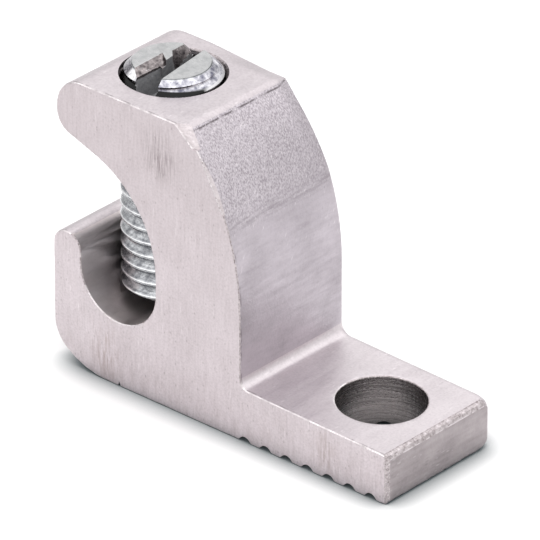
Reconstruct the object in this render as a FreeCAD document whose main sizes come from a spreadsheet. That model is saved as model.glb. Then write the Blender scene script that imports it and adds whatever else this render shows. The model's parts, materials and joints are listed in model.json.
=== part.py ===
import FreeCAD, Part

import math
import os

import Sketcher
from FreeCAD import Placement, Rotation, Vector

# Driving dimensions, in millimetres and degrees. Heights are above the base. A size that names the
# screw is measured from the screw's axis, along the lug.
sizes = {
    # the extrusion
    "body_width": 9.525,
    # wire channel, with the tower's wall and the sloping roof above it
    "channel_radius": 3.02,
    "channel_offset": 0.18,
    "channel_floor_height": 4.41,
    "wall_rise": 1.03,
    "roof_radius": 7.1,
    "underside_slope": 19.0,
    # nose over the mouth
    "nose_to_screw": 5.06,
    "nose_bottom_radius": 1.5,
    "nose_flat": 0.26,
    "nose_top_radius": 2.05,
    # lip and toe
    "lip_wall": 2.24,
    "lip_rise": 1.73,
    "lip_flat": 0.08,
    "lip_outer_radius": 1.06,
    "toe_upper_radius": 2.3,
    "toe_lower_radius": 5.4,
    "toe_turn": 37.0,
    # back of the tower, from the crown down to the tongue
    "crown_radius": 0.6,
    "back_curve_radius": 16.4,
    "back_curve_height": 8.45,
    "back_to_screw": 9.67,
    "root_radius": 0.65,
    # tongue with the mounting hole
    "axis_spacing": 16.7,
    "tongue_overhang": 4.55,
    "tongue_root_height": 3.58,
    "tongue_end_height": 3.34,
    "mounting_hole_diameter": 5.55,
    # underside: a drilling mark and the grip serrations
    "mark_to_screw": 0.12,
    "mark_width": 0.3,
    "mark_depth": 0.34,
    "first_groove_to_screw": 10.03,
    "groove_count": 7,
    "groove_pitch": 1.66,
    "groove_depth": 0.38,
    "tooth_land": 0.12,
    # cut faces: one edge rolled over, the other sharp but for a fine break
    "rolled_edge_radius": 0.55,
    "broken_edge": 0.07,
    # clamp screw, its bore, and how far the photographed screw stands above the bore's floor
    "screw_diameter": 6.35,
    "screw_clearance": 0.05,
    "screw_length": 15.0,
    "screw_lift": 0.48,
    "screw_turn": 8.0,
    "bore_floor_rise": 0.49,
    "top_chamfer": 0.78,
    "tip_chamfer": 0.33,
    "thread_pitch": 0.907,
    "thread_depth": 0.5,
    "thread_angle": 60.0,
    # how far below the tip the thread's groove starts, on the side that points along the tongue
    "thread_run_in": 0.77,
    "slot_width": 1.14,
    "slot_depth": 1.7,
    "slot_offset": 0.25,
}

# the sketch's own origin, as a geometry and a point on it
ORIGIN = (-1, 1)
BORE_FLOOR = "Sizes.channel_floor_height + Sizes.bore_floor_rise"

doc = FreeCAD.newDocument("mechanical_lug")
sheet = doc.addObject("Spreadsheet::Sheet", "Sizes")
for row, (alias, value) in enumerate(sizes.items(), start=1):
    sheet.set(f"A{row}", alias)
    sheet.set(f"B{row}", str(value))
    sheet.setAlias(f"B{row}", alias)
doc.recompute()


def size(alias):
    return float(sheet.get(alias))


def origin_plane(body, role):
    return next(feature for feature in body.Origin.OriginFeatures if feature.Role == role)


def new_body(label):
    body = doc.addObject("PartDesign::Body", label)
    body.Label = label
    return body


def new_sketch(body, name, role):
    sketch = body.newObject("Sketcher::SketchObject", name)
    sketch.AttachmentSupport = [(origin_plane(body, role), "")]
    sketch.MapMode = "FlatFace"
    return sketch


def bind(sketch, label, constraint, expression):
    index = sketch.addConstraint(constraint)
    sketch.renameConstraint(index, label)
    sketch.setExpression("Constraints." + label, expression)


def hold(sketch, label, kind, before, after, expression):
    # a sized distance along the sketch from one point to another, drawn true before it is bound
    start = sketch.getPoint(*before)
    end = sketch.getPoint(*after)
    reach = end.x - start.x if kind == "DistanceX" else end.y - start.y
    bind(sketch, label, Sketcher.Constraint(kind, *before, *after, reach), expression)


class Outline:
    # A closed path of lines and arcs, walked with the material on its left. Each step knows which of
    # its ends the path enters and leaves by, because a sketch arc always runs counter-clockwise.

    def __init__(self, sketch, start):
        self.sketch = sketch
        self.here = Vector(*start, 0)
        self.steps = {}
        self.last = None

    def add(self, name, geometry, enter, leave, smooth):
        index = self.sketch.addGeometry(geometry)
        if self.last:
            self.join(self.last, (index, enter), smooth)
        self.steps[name] = (index, enter, leave)
        self.last = (index, leave)

    def join(self, before, after, smooth):
        kind = "Tangent" if smooth else "Coincident"
        self.sketch.addConstraint(Sketcher.Constraint(kind, *before, *after))

    def line(self, name, end, smooth=True):
        end = Vector(*end, 0)
        self.add(name, Part.LineSegment(self.here, end), 1, 2, smooth)
        self.here = end

    def arc(self, name, centre, end, turn="left", smooth=True):
        centre = Vector(*centre, 0)
        end = Vector(*end, 0)
        first, second = (self.here, end) if turn == "left" else (end, self.here)
        circle = Part.Circle(centre, Vector(0, 0, 1), self.here.distanceToPoint(centre))
        low = math.atan2(first.y - centre.y, first.x - centre.x)
        high = math.atan2(second.y - centre.y, second.x - centre.x)
        if high <= low:
            high += 2 * math.pi
        enter, leave = (1, 2) if turn == "left" else (2, 1)
        self.add(name, Part.ArcOfCircle(circle, low, high), enter, leave, smooth)
        self.here = end

    def close(self, smooth=False):
        first, enter, _ = next(iter(self.steps.values()))
        self.join(self.last, (first, enter), smooth)

    def index(self, name):
        return self.steps[name][0]

    def start(self, name):
        index, enter, _ = self.steps[name]
        return index, enter

    def end(self, name):
        index, _, leave = self.steps[name]
        return index, leave


def draw_profile(sketch):
    # First places for the solver; the constraints below hold the sizes.
    tongue_end = size("axis_spacing") + size("tongue_overhang")
    back = size("back_to_screw")

    slope = (size("tongue_end_height") - size("tongue_root_height")) / (tongue_end - back)
    lean = math.hypot(1, slope)
    root = size("root_radius")
    root_centre = (back + root, size("tongue_root_height") + root * slope + root * lean)
    root_start = (root_centre[0] + root * slope / lean, root_centre[1] - root / lean)

    channel_height = size("channel_floor_height") + size("channel_radius")
    channel_left = -size("channel_offset") - size("channel_radius")
    wall = size("channel_radius") - size("channel_offset")

    roof = size("roof_radius")
    fall = math.radians(size("underside_slope"))
    roof_centre = (wall - roof, channel_height + size("wall_rise"))
    under_end = (roof_centre[0] + roof * math.sin(fall), roof_centre[1] + roof * math.cos(fall))

    nose = -size("nose_to_screw")
    nose_bottom = size("nose_bottom_radius")
    nose_top = size("nose_top_radius")
    low_nose_x = nose + nose_bottom
    under_height = under_end[1] + (under_end[0] - low_nose_x) * math.tan(fall)
    low_nose_height = under_height + nose_bottom / math.cos(fall)
    under_start = (low_nose_x - nose_bottom * math.sin(fall), low_nose_height - nose_bottom * math.cos(fall))
    nose_height = low_nose_height + size("nose_flat")
    top = nose_height + nose_top

    back_radius = size("back_curve_radius")
    back_centre = (back - back_radius, size("back_curve_height"))
    crown = size("crown_radius")
    crown_rise = top - crown - back_centre[1]
    crown_reach = math.sqrt((back_radius - crown) ** 2 - crown_rise ** 2)
    crown_centre = (back_centre[0] + crown_reach, top - crown)
    grow = back_radius / (back_radius - crown)
    crown_start = (back_centre[0] + crown_reach * grow, back_centre[1] + crown_rise * grow)

    lip = channel_left - size("lip_wall")
    lip_top = channel_height + size("lip_rise")
    outer = size("lip_outer_radius")
    inner = size("lip_wall") - size("lip_flat") - outer

    turn = math.radians(size("toe_turn"))
    toe_upper = size("toe_upper_radius")
    toe_lower = size("toe_lower_radius")
    toe_join_x = lip + toe_upper * (1 - math.sin(turn))
    toe_join = (toe_join_x, toe_lower * (1 - math.cos(turn)))
    lower_centre = (toe_join_x + toe_lower * math.sin(turn), toe_lower)
    upper_centre = (lip + toe_upper, toe_join[1] + toe_upper * math.cos(turn))

    path = Outline(sketch, (lower_centre[0], 0))
    path.line("base", (tongue_end, 0))
    path.line("tongue_face", (tongue_end, size("tongue_end_height")), smooth=False)
    path.line("tongue_top", root_start, smooth=False)
    path.arc("root", root_centre, (back, root_centre[1]), turn="right")
    path.line("back_flat", (back, back_centre[1]))
    path.arc("back_curve", back_centre, crown_start)
    path.arc("crown", crown_centre, (crown_centre[0], top))
    path.line("head_top", (nose + nose_top, top))
    path.arc("nose_upper", (nose + nose_top, nose_height), (nose, nose_height))
    path.line("nose_face", (nose, low_nose_height))
    path.arc("nose_lower", (low_nose_x, low_nose_height), under_start)
    path.line("underside", under_end)
    path.arc("roof", roof_centre, (wall, roof_centre[1]), turn="right")
    path.line("channel_wall", (wall, channel_height))
    channel_centre = (-size("channel_offset"), channel_height)
    path.arc("channel", channel_centre, (channel_left, channel_height), turn="right")
    path.line("lip_inside", (channel_left, lip_top - inner))
    path.arc("lip_inner", (channel_left - inner, lip_top - inner), (channel_left - inner, lip_top))
    path.line("lip_flat", (lip + outer, lip_top))
    path.arc("lip_outer", (lip + outer, lip_top - outer), (lip, lip_top - outer))
    path.line("lip_face", (lip, upper_centre[1]))
    path.arc("toe_upper", upper_centre, toe_join)
    path.arc("toe_lower", lower_centre, (lower_centre[0], 0))
    path.close(smooth=True)

    for name in ("base", "head_top", "lip_flat"):
        sketch.addConstraint(Sketcher.Constraint("Horizontal", path.index(name)))
    for name in ("tongue_face", "back_flat", "nose_face", "channel_wall", "lip_inside", "lip_face"):
        sketch.addConstraint(Sketcher.Constraint("Vertical", path.index(name)))
    for name, alias in (
        ("root", "root_radius"),
        ("back_curve", "back_curve_radius"),
        ("crown", "crown_radius"),
        ("nose_upper", "nose_top_radius"),
        ("nose_lower", "nose_bottom_radius"),
        ("roof", "roof_radius"),
        ("channel", "channel_radius"),
        ("lip_outer", "lip_outer_radius"),
        ("toe_upper", "toe_upper_radius"),
        ("toe_lower", "toe_lower_radius"),
    ):
        radius = Sketcher.Constraint("Radius", path.index(name), size(alias))
        bind(sketch, alias, radius, "Sizes." + alias)
    roof_sweep = Sketcher.Constraint("Angle", path.index("roof"), math.pi / 2 - fall)
    bind(sketch, "roof_sweep", roof_sweep, "(90 - Sizes.underside_slope) * 1 deg")
    toe_sweep = Sketcher.Constraint("Angle", path.index("toe_lower"), turn)
    bind(sketch, "toe_turn", toe_sweep, "Sizes.toe_turn * 1 deg")

    def along(label, before, after, expression):
        hold(sketch, label, "DistanceX", before, after, expression)

    def up(label, before, after, expression):
        hold(sketch, label, "DistanceY", before, after, expression)

    centre = (path.index("channel"), 3)
    sketch.addConstraint(Sketcher.Constraint("PointOnObject", *path.start("base"), -1))
    along("tongue_end", ORIGIN, path.end("base"), "Sizes.axis_spacing + Sizes.tongue_overhang")
    up("tongue_end_height", ORIGIN, path.end("tongue_face"), "Sizes.tongue_end_height")
    along("back_to_screw", ORIGIN, path.end("back_flat"), "Sizes.back_to_screw")
    up("back_curve_height", ORIGIN, path.end("back_flat"), "Sizes.back_curve_height")
    along("nose_to_screw", path.start("nose_face"), ORIGIN, "Sizes.nose_to_screw")
    up("nose_flat", path.end("nose_face"), path.start("nose_face"), "Sizes.nose_flat")
    along("channel_offset", centre, ORIGIN, "Sizes.channel_offset")
    up("channel_height", ORIGIN, centre, "Sizes.channel_floor_height + Sizes.channel_radius")
    up("wall_rise", centre, path.start("channel_wall"), "Sizes.wall_rise")
    up("lip_rise", centre, path.start("lip_flat"), "Sizes.lip_rise")
    along("lip_wall", path.start("lip_face"), path.start("lip_inside"), "Sizes.lip_wall")
    along("lip_flat", path.end("lip_flat"), path.start("lip_flat"), "Sizes.lip_flat")

    # the tongue's top aims at its root height where it would meet the tower
    corner = sketch.addGeometry(Part.Point(Vector(back, size("tongue_root_height"), 0)), True)
    sketch.addConstraint(Sketcher.Constraint("PointOnObject", corner, 1, path.index("tongue_top")))
    along("root_corner", ORIGIN, (corner, 1), "Sizes.back_to_screw")
    up("tongue_root_height", ORIGIN, (corner, 1), "Sizes.tongue_root_height")


def edges_on_face(shape, y, slack=1e-6):
    found = []
    for number, edge in enumerate(shape.Edges, start=1):
        if all(abs(vertex.Point.y - y) < slack for vertex in edge.Vertexes):
            found.append(f"Edge{number}")
    return found


def pocket(body, name, sketch, length=None, side="One side", upward=False):
    base = body.Tip
    cut = body.newObject("PartDesign::Pocket", name)
    cut.Profile = sketch
    cut.SideType = side
    cut.Reversed = upward
    if length:
        cut.setExpression("Length", length)
    else:
        cut.Type = "ThroughAll"
    sketch.Visibility = False
    doc.recompute()
    if cut.Shape.Volume >= base.Shape.Volume:
        raise ValueError(f"{name} removes nothing")
    return cut


def draw_mark(sketch):
    # a fine V along the underside, under the screw, that marks where to drill
    middle = -size("mark_to_screw")
    half = size("mark_width") / 2
    path = Outline(sketch, (middle - half, 0))
    path.line("mouth", (middle + half, 0))
    path.line("front", (middle, size("mark_depth")), smooth=False)
    path.line("back", (middle - half, 0), smooth=False)
    path.close()
    sketch.addConstraint(Sketcher.Constraint("PointOnObject", *path.start("mouth"), -1))
    sketch.addConstraint(Sketcher.Constraint("Horizontal", path.index("mouth")))
    sketch.addConstraint(Sketcher.Constraint("Equal", path.index("front"), path.index("back")))
    hold(sketch, "mark_width", "DistanceX", path.start("mouth"), path.end("mouth"), "Sizes.mark_width")
    hold(sketch, "mark_depth", "DistanceY", ORIGIN, path.end("front"), "Sizes.mark_depth")
    hold(sketch, "mark_to_screw", "DistanceX", path.end("front"), ORIGIN, "Sizes.mark_to_screw")


def draw_groove(sketch):
    # One groove of the serrations: a round hollow whose sides roll over into the teeth beside it, all
    # with one radius, and a plain skirt below the base.
    middle = size("first_groove_to_screw")
    half = (size("groove_pitch") - size("tooth_land")) / 2
    depth = size("groove_depth")
    round_radius = (half ** 2 + depth ** 2) / (4 * depth)
    path = Outline(sketch, (middle - half, 0))
    path.line("skirt_back", (middle - half, -depth))
    path.line("skirt", (middle + half, -depth), smooth=False)
    path.line("skirt_front", (middle + half, 0), smooth=False)
    front_centre = (middle + half, round_radius)
    back_centre = (middle - half, round_radius)
    path.arc("front_tooth", front_centre, (middle + half / 2, depth / 2), turn="right", smooth=False)
    path.arc("hollow", (middle, depth - round_radius), (middle - half / 2, depth / 2))
    path.arc("back_tooth", back_centre, (middle - half, 0), turn="right")
    path.close()

    teeth = (path.index("front_tooth"), path.index("back_tooth"))
    sketch.addConstraint(Sketcher.Constraint("Vertical", path.index("skirt_back")))
    sketch.addConstraint(Sketcher.Constraint("Vertical", path.index("skirt_front")))
    sketch.addConstraint(Sketcher.Constraint("Horizontal", path.index("skirt")))
    sketch.addConstraint(Sketcher.Constraint("PointOnObject", *path.start("skirt_back"), -1))
    sketch.addConstraint(Sketcher.Constraint("PointOnObject", *path.end("skirt_front"), -1))
    for tooth, point in zip(teeth, (path.start("front_tooth"), path.end("back_tooth"))):
        sketch.addConstraint(Sketcher.Constraint("Vertical", *point, tooth, 3))
        sketch.addConstraint(Sketcher.Constraint("Equal", tooth, path.index("hollow")))
    radius = Sketcher.Constraint("Radius", path.index("hollow"), round_radius)
    half_width = "((Sizes.groove_pitch - Sizes.tooth_land) / 2)"
    from_width_and_depth = f"({half_width}^2 + Sizes.groove_depth^2) / (4 * Sizes.groove_depth)"
    bind(sketch, "round_radius", radius, from_width_and_depth)
    skirt = (path.start("skirt"), path.end("skirt"))
    hollow_centre = (path.index("hollow"), 3)
    hold(sketch, "groove_width", "DistanceX", *skirt, "Sizes.groove_pitch - Sizes.tooth_land")
    hold(sketch, "skirt_depth", "DistanceY", skirt[0], ORIGIN, "Sizes.groove_depth")
    hold(sketch, "first_groove_to_screw", "DistanceX", ORIGIN, hollow_centre, "Sizes.first_groove_to_screw")


def draw_hole(sketch, label, diameter, along=None):
    # a round hole, first drawn at the screw's size and then bound to its own
    first = size("screw_diameter")
    centre = Vector(size(along) if along else 0, 0, 0)
    circle = sketch.addGeometry(Part.Circle(centre, Vector(0, 0, 1), first / 2))
    bind(sketch, label, Sketcher.Constraint("Diameter", circle, first), diameter)
    if along:
        sketch.addConstraint(Sketcher.Constraint("PointOnObject", circle, 3, -1))
        hold(sketch, along, "DistanceX", ORIGIN, (circle, 3), "Sizes." + along)
    else:
        sketch.addConstraint(Sketcher.Constraint("Coincident", circle, 3, *ORIGIN))


def make_lug():
    body = new_body("lug_body")
    profile = new_sketch(body, "profile", "XZ_Plane")
    draw_profile(profile)
    doc.recompute()

    extrusion = body.newObject("PartDesign::Pad", "extrusion")
    extrusion.Profile = profile
    extrusion.SideType = "Symmetric"
    extrusion.setExpression("Length", "Sizes.body_width")
    profile.Visibility = False
    doc.recompute()

    # the cut rolls the far edge over, and leaves the near one sharp but for a fine break
    half_width = size("body_width") / 2
    rolled = body.newObject("PartDesign::Fillet", "rolled_edge")
    rolled.Base = (extrusion, edges_on_face(extrusion.Shape, half_width))
    rolled.setExpression("Radius", "Sizes.rolled_edge_radius")
    doc.recompute()
    broken = body.newObject("PartDesign::Chamfer", "broken_edge")
    broken.Base = (rolled, edges_on_face(rolled.Shape, -half_width))
    broken.setExpression("Size", "Sizes.broken_edge")
    doc.recompute()

    mark = new_sketch(body, "drilling_mark_shape", "XZ_Plane")
    draw_mark(mark)
    pocket(body, "drilling_mark", mark, side="Symmetric")

    groove_shape = new_sketch(body, "groove_shape", "XZ_Plane")
    draw_groove(groove_shape)
    groove = pocket(body, "groove", groove_shape, side="Symmetric")
    serrations = body.newObject("PartDesign::LinearPattern", "serrations")
    serrations.Originals = [groove]
    serrations.Direction = (origin_plane(body, "X_Axis"), [""])
    serrations.Mode = "Spacing"
    serrations.setExpression("Offset", "Sizes.groove_pitch")
    serrations.setExpression("Occurrences", "Sizes.groove_count")
    body.Tip = serrations
    doc.recompute()

    hole_shape = new_sketch(body, "mounting_hole_shape", "XY_Plane")
    draw_hole(hole_shape, "mounting_hole_diameter", "Sizes.mounting_hole_diameter", "axis_spacing")
    pocket(body, "mounting_hole", hole_shape, side="Symmetric")

    # The screw's bore runs from just above the channel's floor up the tower, where it leaves a
    # half-round bed for the screw, and out through the roof and the top of the head.
    bore_shape = new_sketch(body, "screw_bore_shape", "XY_Plane")
    bore_shape.setExpression("AttachmentOffset.Base.z", BORE_FLOOR)
    draw_hole(bore_shape, "bore_diameter", "Sizes.screw_diameter + 2 * Sizes.screw_clearance")
    pocket(body, "screw_bore", bore_shape, upward=True)

    body.setExpression("Placement.Base.x", "-Sizes.axis_spacing")
    doc.recompute()
    return body


def draw_screw(sketch):
    crest = size("screw_diameter") / 2
    length = size("screw_length")
    path = Outline(sketch, (0, 0))
    path.line("tip", (crest - size("tip_chamfer"), 0))
    path.line("tip_edge", (crest, size("tip_chamfer")), smooth=False)
    path.line("shank", (crest, length - size("top_chamfer")), smooth=False)
    path.line("top_edge", (crest - size("top_chamfer"), length), smooth=False)
    path.line("top", (0, length), smooth=False)
    path.line("axis", (0, 0), smooth=False)
    path.close()
    sketch.addConstraint(Sketcher.Constraint("Coincident", *path.start("tip"), *ORIGIN))
    for name in ("tip", "top"):
        sketch.addConstraint(Sketcher.Constraint("Horizontal", path.index(name)))
    for name in ("shank", "axis"):
        sketch.addConstraint(Sketcher.Constraint("Vertical", path.index(name)))

    tip_edge = (path.start("tip_edge"), path.end("tip_edge"))
    top_edge = (path.start("top_edge"), path.end("top_edge"))
    hold(sketch, "crest_radius", "DistanceX", ORIGIN, path.end("shank"), "Sizes.screw_diameter / 2")
    hold(sketch, "screw_length", "DistanceY", ORIGIN, path.end("top"), "Sizes.screw_length")
    hold(sketch, "tip_width", "DistanceX", *tip_edge, "Sizes.tip_chamfer")
    hold(sketch, "tip_rise", "DistanceY", *tip_edge, "Sizes.tip_chamfer")
    hold(sketch, "top_width", "DistanceX", *reversed(top_edge), "Sizes.top_chamfer")
    hold(sketch, "top_rise", "DistanceY", *top_edge, "Sizes.top_chamfer")


def draw_thread_groove(sketch):
    # one V of the thread, pointing at the screw's axis, whose flanks run out past the crests
    crest = size("screw_diameter") / 2
    root = crest - size("thread_depth")
    outside = crest + size("thread_depth") / 4
    half = (outside - root) * math.tan(math.radians(size("thread_angle") / 2))
    middle = -size("thread_run_in")
    path = Outline(sketch, (root, middle))
    path.line("lower_flank", (outside, middle - half))
    path.line("mouth", (outside, middle + half), smooth=False)
    path.line("upper_flank", (root, middle), smooth=False)
    path.close()
    sketch.addConstraint(Sketcher.Constraint("Vertical", path.index("mouth")))
    sketch.addConstraint(Sketcher.Constraint("Equal", path.index("lower_flank"), path.index("upper_flank")))
    bottom = path.start("lower_flank")
    mouth_top = path.end("mouth")
    hold(sketch, "root_radius", "DistanceX", ORIGIN, bottom, "Sizes.screw_diameter / 2 - Sizes.thread_depth")
    hold(sketch, "flank_reach", "DistanceX", bottom, mouth_top, "5 * Sizes.thread_depth / 4")
    flank_rise = "5 * Sizes.thread_depth / 4 * tan(Sizes.thread_angle / 2 * 1 deg)"
    hold(sketch, "flank_rise", "DistanceY", bottom, mouth_top, flank_rise)
    hold(sketch, "thread_run_in", "DistanceY", bottom, ORIGIN, "Sizes.thread_run_in")


def draw_slot(sketch):
    # a driver slot across the whole screw, cut a little off its centre
    reach = size("screw_diameter") / 2
    left = size("slot_offset") - size("slot_width") / 2
    right = left + size("slot_width")
    path = Outline(sketch, (left, -reach))
    path.line("near_end", (right, -reach))
    path.line("right_wall", (right, reach), smooth=False)
    path.line("far_end", (left, reach), smooth=False)
    path.line("left_wall", (left, -reach), smooth=False)
    path.close()
    for name in ("near_end", "far_end"):
        sketch.addConstraint(Sketcher.Constraint("Horizontal", path.index(name)))
    for name in ("right_wall", "left_wall"):
        sketch.addConstraint(Sketcher.Constraint("Vertical", path.index(name)))
    near_left = path.start("near_end")
    near_right = path.end("near_end")
    hold(sketch, "slot_width", "DistanceX", near_left, near_right, "Sizes.slot_width")
    hold(sketch, "slot_side", "DistanceX", ORIGIN, near_right, "Sizes.slot_offset + Sizes.slot_width / 2")
    hold(sketch, "near_reach", "DistanceY", near_left, ORIGIN, "Sizes.screw_diameter / 2")
    hold(sketch, "far_reach", "DistanceY", ORIGIN, path.start("far_end"), "Sizes.screw_diameter / 2")


def make_screw():
    body = new_body("set_screw")
    outline = new_sketch(body, "half_outline", "XZ_Plane")
    draw_screw(outline)
    doc.recompute()
    turned = body.newObject("PartDesign::Revolution", "turned_blank")
    turned.Profile = outline
    turned.ReferenceAxis = (origin_plane(body, "Z_Axis"), [""])
    turned.Angle = 360
    outline.Visibility = False
    doc.recompute()

    slot_shape = new_sketch(body, "slot_shape", "XY_Plane")
    slot_shape.setExpression("AttachmentOffset.Base.z", "Sizes.screw_length")
    draw_slot(slot_shape)
    slotted = pocket(body, "driver_slot", slot_shape, "Sizes.slot_depth")

    groove = new_sketch(body, "thread_groove", "XZ_Plane")
    draw_thread_groove(groove)
    doc.recompute()
    thread = body.newObject("PartDesign::SubtractiveHelix", "thread")
    thread.Profile = groove
    thread.ReferenceAxis = (origin_plane(body, "Z_Axis"), [""])
    thread.Mode = "pitch-height-angle"
    thread.setExpression("Pitch", "Sizes.thread_pitch")
    thread.setExpression("Height", "Sizes.screw_length + 2 * Sizes.thread_pitch")
    groove.Visibility = False
    doc.recompute()
    if thread.Shape.Volume >= slotted.Shape.Volume:
        raise ValueError("the thread removes nothing")

    body.Placement = Placement(Vector(), Rotation(Vector(0, 0, 1), size("screw_turn")))
    body.setExpression("Placement.Base.x", "-Sizes.axis_spacing")
    body.setExpression("Placement.Base.z", BORE_FLOOR + " + Sizes.screw_lift")
    body.setExpression("Placement.Rotation.Angle", "Sizes.screw_turn")
    doc.recompute()
    return body


pieces = [make_lug(), make_screw()]

for item in doc.Objects:
    if "Invalid" in item.State or "Error" in item.State:
        raise ValueError(f"{item.Label} did not build: {item.State}")
    if item.isDerivedFrom("Sketcher::SketchObject") and not item.FullyConstrained:
        raise ValueError(f"{item.Label} is not fully constrained")

os.makedirs("parts", exist_ok=True)
for piece in pieces:
    shape = piece.Shape
    if shape.isNull() or not shape.isValid() or len(shape.Solids) != 1:
        raise ValueError(f"{piece.Label} is not one sound solid")
    shape.exportStep(f"parts/{piece.Label}.step")
    box = shape.optimalBoundingBox()
    print(f"{piece.Label}: {shape.Volume:.2f} cubic mm, x {box.XMin:.2f} to {box.XMax:.2f},"
          f" y {box.YMin:.2f} to {box.YMax:.2f}, z {box.ZMin:.2f} to {box.ZMax:.2f}")
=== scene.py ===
import json
import math

import bmesh
import bpy
from mathutils import Matrix, Vector


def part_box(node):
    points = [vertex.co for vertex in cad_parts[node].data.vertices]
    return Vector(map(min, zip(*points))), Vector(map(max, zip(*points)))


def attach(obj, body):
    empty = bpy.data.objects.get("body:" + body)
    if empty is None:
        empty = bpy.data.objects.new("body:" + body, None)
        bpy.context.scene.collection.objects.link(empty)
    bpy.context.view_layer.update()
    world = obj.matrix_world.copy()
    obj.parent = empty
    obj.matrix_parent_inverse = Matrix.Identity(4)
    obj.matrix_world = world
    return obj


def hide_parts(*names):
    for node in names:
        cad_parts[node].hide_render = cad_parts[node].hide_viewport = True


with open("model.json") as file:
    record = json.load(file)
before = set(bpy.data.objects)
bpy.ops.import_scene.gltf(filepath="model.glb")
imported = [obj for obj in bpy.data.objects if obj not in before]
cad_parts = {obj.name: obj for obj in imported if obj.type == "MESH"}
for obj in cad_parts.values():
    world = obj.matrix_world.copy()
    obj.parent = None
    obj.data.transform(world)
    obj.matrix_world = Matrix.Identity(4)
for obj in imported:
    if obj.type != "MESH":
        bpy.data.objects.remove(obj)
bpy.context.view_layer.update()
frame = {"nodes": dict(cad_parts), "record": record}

mm = 0.001
weld = 0.0001 * mm  # points nearer than this are one point

screwLow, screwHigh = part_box("set_screw")
lugLow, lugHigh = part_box("lug_body")
screwAxis = (screwLow + screwHigh) / 2  # a point on the clamp screw's axis
holeMount = next(m for m in frame["record"]["mounts"] if m["name"] == "mounting_hole")
holeAxis = Vector(holeMount["pos_m"])
holeRadius = holeMount["dims"]["r_mm"] * mm


# Working helpers

def onlyActive(piece):
    if bpy.context.object and bpy.context.object.mode != "OBJECT":
        bpy.ops.object.mode_set(mode="OBJECT")
    bpy.ops.object.select_all(action="DESELECT")
    piece.select_set(True)
    bpy.context.view_layer.objects.active = piece


def startEdit(piece, pick="SELECT"):
    onlyActive(piece)
    bpy.ops.object.mode_set(mode="EDIT")
    bpy.ops.mesh.select_all(action=pick)
    return bmesh.from_edit_mesh(piece.data)


def endEdit():
    bpy.ops.object.mode_set(mode="OBJECT")


def pickFaces(piece, test):
    # leaves edit mode with just the faces selected that pass the test
    mesh = startEdit(piece, "DESELECT")
    for face in mesh.faces:
        face.select_set(test(face))
    bmesh.update_edit_mesh(piece.data)


def copyOfNode(node, name):
    # a node's own shape as a clean closed mesh: doubles merged and flat triangles joined to whole faces
    source = frame["nodes"][node]
    piece = source.copy()
    piece.data = source.data.copy()
    piece.parent = None
    piece.matrix_world = Matrix.Identity(4)
    piece.name = piece.data.name = name
    bpy.context.collection.objects.link(piece)
    piece.data.materials.clear()
    startEdit(piece)
    bpy.ops.mesh.customdata_custom_splitnormals_clear()
    bpy.ops.mesh.remove_doubles(threshold=0.001 * mm)
    bpy.ops.mesh.dissolve_limited(angle_limit=math.radians(0.3))
    endEdit()
    return piece


def cutPlane(place, normal, **kind):
    # across what is selected
    bpy.ops.mesh.bisect(plane_co=place, plane_no=normal, threshold=weld, **kind)


def sliceUp(piece, axis, low, high, step):
    # cuts every face across by even planes, so that the surface can be worked
    normal = Vector((0, 0, 0))
    normal[axis] = 1
    count = int((high - low) / step)
    for number in range(1, count + 1):
        place = Vector((0, 0, 0))
        place[axis] = low + (high - low) * number / (count + 1)
        bpy.ops.mesh.select_all(action="SELECT")
        cutPlane(place, normal)


def cutAway(piece, cutter, kind="DIFFERENCE"):
    cut = piece.modifiers.new("cut", "BOOLEAN")
    cut.operation = kind
    cut.solver = "MANIFOLD"
    cut.object = cutter
    onlyActive(piece)
    bpy.ops.object.modifier_apply(modifier=cut.name)
    bpy.data.objects.remove(cutter)


def facingHeart(corners, heart):
    # the plane through three corners, with its normal away from heart
    first, second, third = corners
    normal = (second - first).cross(third - first).normalized()
    return first, normal if normal.dot(first - heart) > 0 else -normal


def chipAway(piece, name, heart, sides, size, grain, roughness):
    # A block round heart, cut down by planes and roughened, is taken out of the piece.
    bpy.ops.mesh.primitive_cube_add(size=1, location=(0, 0, 0))
    block = bpy.context.object
    block.name = block.data.name = name
    startEdit(block)
    bpy.ops.transform.resize(value=(size, size, size))
    bpy.ops.transform.translate(value=heart)
    for corners in sides:
        bpy.ops.mesh.select_all(action="SELECT")
        place, normal = facingHeart(corners, heart)
        cutPlane(place, normal, clear_outer=True, use_fill=True)
    for axis in range(3):
        sliceUp(block, axis, heart[axis] - size / 2, heart[axis] + size / 2, grain)
    bpy.ops.mesh.select_all(action="SELECT")
    bpy.ops.transform.vertex_random(offset=roughness, uniform=0, normal=0, seed=len(name))
    bpy.ops.mesh.normals_make_consistent(inside=False)
    endEdit()
    cutAway(piece, block)


# Clamp screw

screwShape = {
    "pitch": 0.907 * mm,
    "crestRadius": 3.163 * mm,
    "rootRadius": 2.74 * mm,
    "crestPhase": 0.56,  # share of a pitch that a crest stands above the base, on the +X side
    "turnSteps": 72,
    "topBevel": 0.78 * mm,
    "tipBevel": 0.33 * mm,
    "slotWidth": 1.14 * mm,
    "slotDepth": 1.7 * mm,
    "slotLength": 9 * mm,  # out past both sides
    "slotOffset": 0.25 * mm,
}

# one pitch of the thread: how far up it, and how far out from root to crest
threadOutline = (
    (0, 1), (0.05, 1), (0.1, 0.93), (0.33, 0.12), (0.42, 0),
    (0.58, 0), (0.67, 0.12), (0.9, 0.93), (0.95, 1), (1, 1))


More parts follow.
